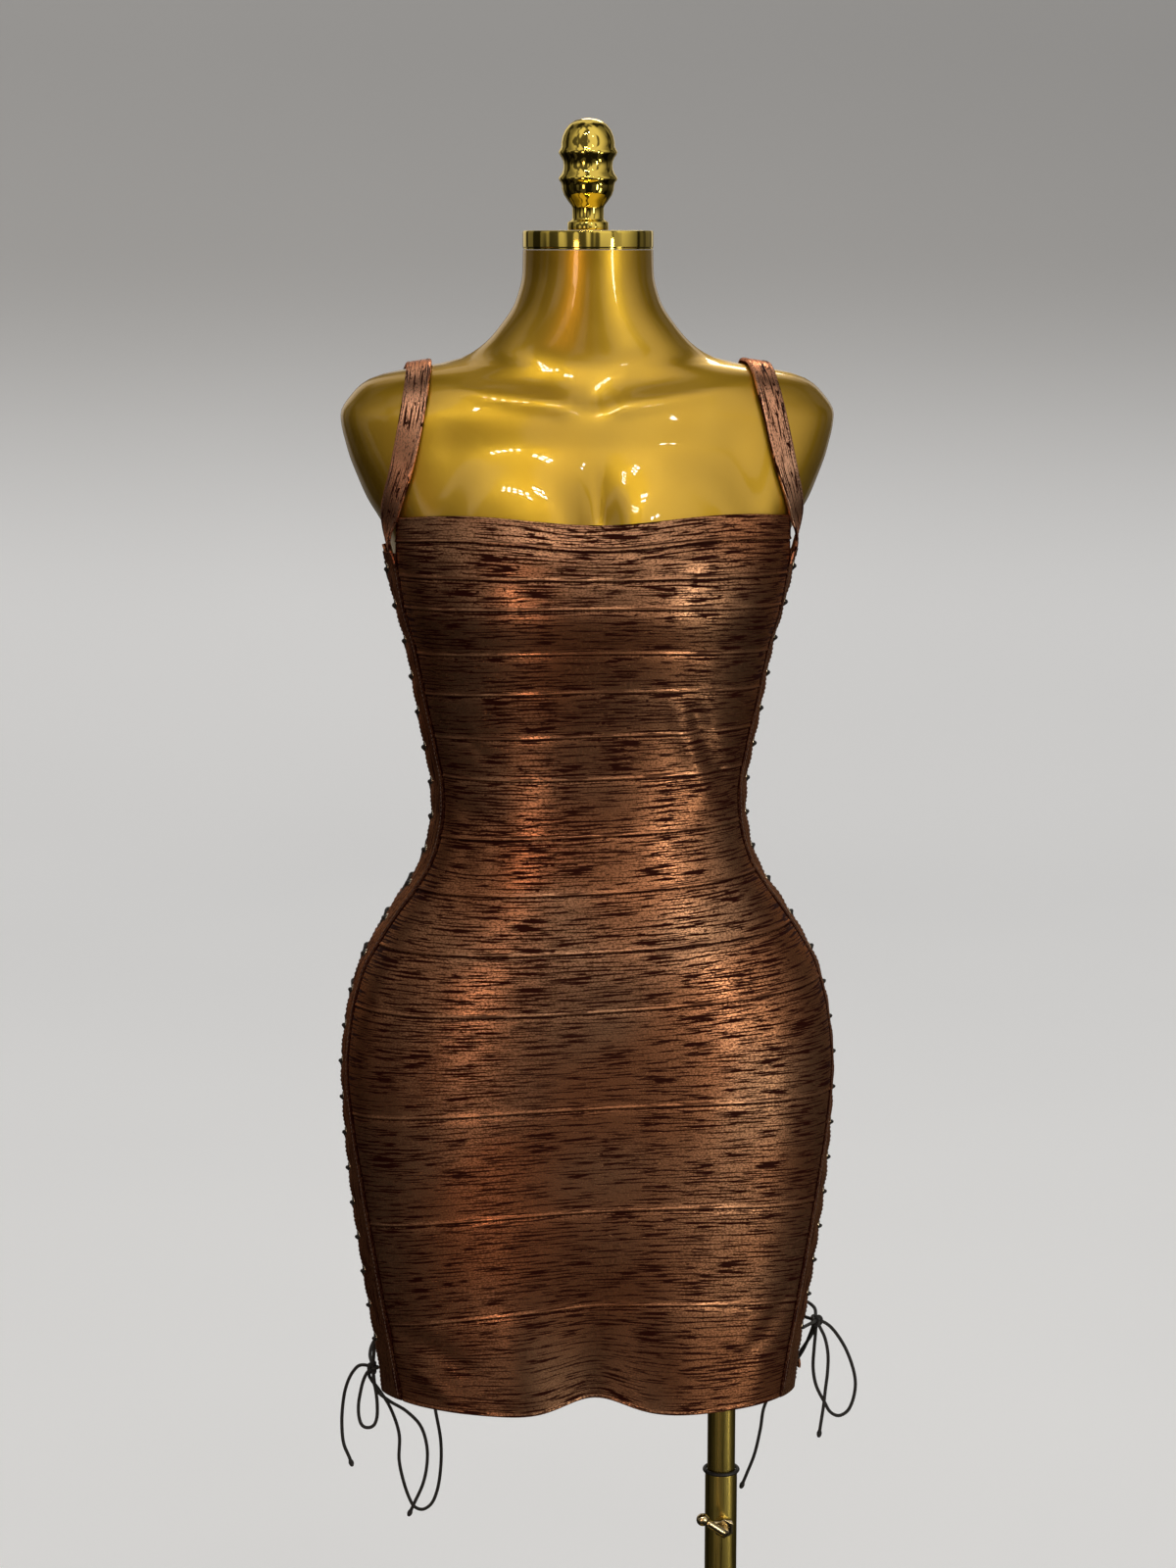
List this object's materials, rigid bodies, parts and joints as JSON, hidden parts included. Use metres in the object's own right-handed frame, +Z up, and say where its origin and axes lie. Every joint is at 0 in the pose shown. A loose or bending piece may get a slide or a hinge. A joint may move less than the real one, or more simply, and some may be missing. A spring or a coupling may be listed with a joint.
{
  "type": "bodycon dress on dress form",
  "caption": "Strappy banded mini dress in bronze foil knit with laced sides, worn by a gold limbless dress form on a telescopic off-centre pole.",
  "frame": {"origin": "on the floor, under the middle of the round base plate, which is under the middle of the dress form", "axes": "+Z up, -Y to the front of the dress, +X to the right seen from the front"},
  "size_m": [0.4125, 0.3392, 1.5762],
  "materials": {
    "foil_knit": "burgundy-brown stretch knit with a broken bronze foil print and a fine glitter",
    "foil_binding": "the same foil knit, doubled, with stitched edges",
    "black_cord": "matte black round elastic cord",
    "gold_paint": "pearl gold paint under clear gloss on a moulded plastic shell",
    "gold_plate": "mirror-polished gold plate",
    "satin_brass": "satin gold-plated steel",
    "black_rubber": "black rubber ring"
  },
  "bodies": {
    "stand": {"base_plate": "satin_brass", "base_socket": "satin_brass", "outer_tube": "satin_brass", "rubber_ring": "black_rubber", "clamp_nut": "satin_brass"},
    "post": {"inner_tube": "satin_brass"},
    "figure": {"dress_form": "gold_paint", "neck_cap": "gold_plate", "finial": "gold_plate", "front_band_01": "foil_knit", "front_band_02": "foil_knit", "front_band_03": "foil_knit", "front_band_04": "foil_knit", "front_band_05": "foil_knit", "front_band_06": "foil_knit", "front_band_07": "foil_knit", "front_band_08": "foil_knit", "front_band_09": "foil_knit", "front_band_10": "foil_knit", "front_band_11": "foil_knit", "front_band_12": "foil_knit", "front_band_13": "foil_knit", "front_band_14": "foil_knit", "front_band_15": "foil_knit", "back_band_01": "foil_knit", "back_band_02": "foil_knit", "back_band_03": "foil_knit", "back_band_04": "foil_knit", "back_band_05": "foil_knit", "back_band_06": "foil_knit", "back_band_07": "foil_knit", "back_band_08": "foil_knit", "back_band_09": "foil_knit", "back_band_10": "foil_knit", "back_band_11": "foil_knit", "back_band_12": "foil_knit", "back_band_13": "foil_knit", "back_band_14": "foil_knit", "front_placket_left": "foil_binding", "front_placket_right": "foil_binding", "back_placket_left": "foil_binding", "back_placket_right": "foil_binding", "strap_left": "foil_binding", "strap_right": "foil_binding", "lacing_left_over": "black_cord", "lacing_left_under": "black_cord", "lacing_right_over": "black_cord", "lacing_right_under": "black_cord", "bow_left_knot": "black_cord", "bow_left_loop_side": "black_cord", "bow_left_loop_back": "black_cord", "bow_left_end_side": "black_cord", "bow_left_end_back": "black_cord", "bow_right_knot": "black_cord", "bow_right_loop_side": "black_cord", "bow_right_loop_back": "black_cord", "bow_right_end_side": "black_cord", "bow_right_end_back": "black_cord"},
    "handle": {"clamp_handle": "satin_brass"}
  },
  "joints": [
    {"name": "pole_height", "type": "slide", "parent": "stand", "child": "post", "axis": [0, 0, 1], "range_m": [-0.09, 0.2]},
    {"name": "form_swivel", "type": "hinge", "parent": "post", "child": "figure", "pos_m": [0.106, 0, 0.645], "axis": [0, 0, 1], "range_deg": [-180, 180]},
    {"name": "clamp_turn", "type": "hinge", "parent": "stand", "child": "handle", "pos_m": [0.106, -0.034, 0.485], "axis": [0, -1, 0], "range_deg": [-180, 180]}
  ]
}
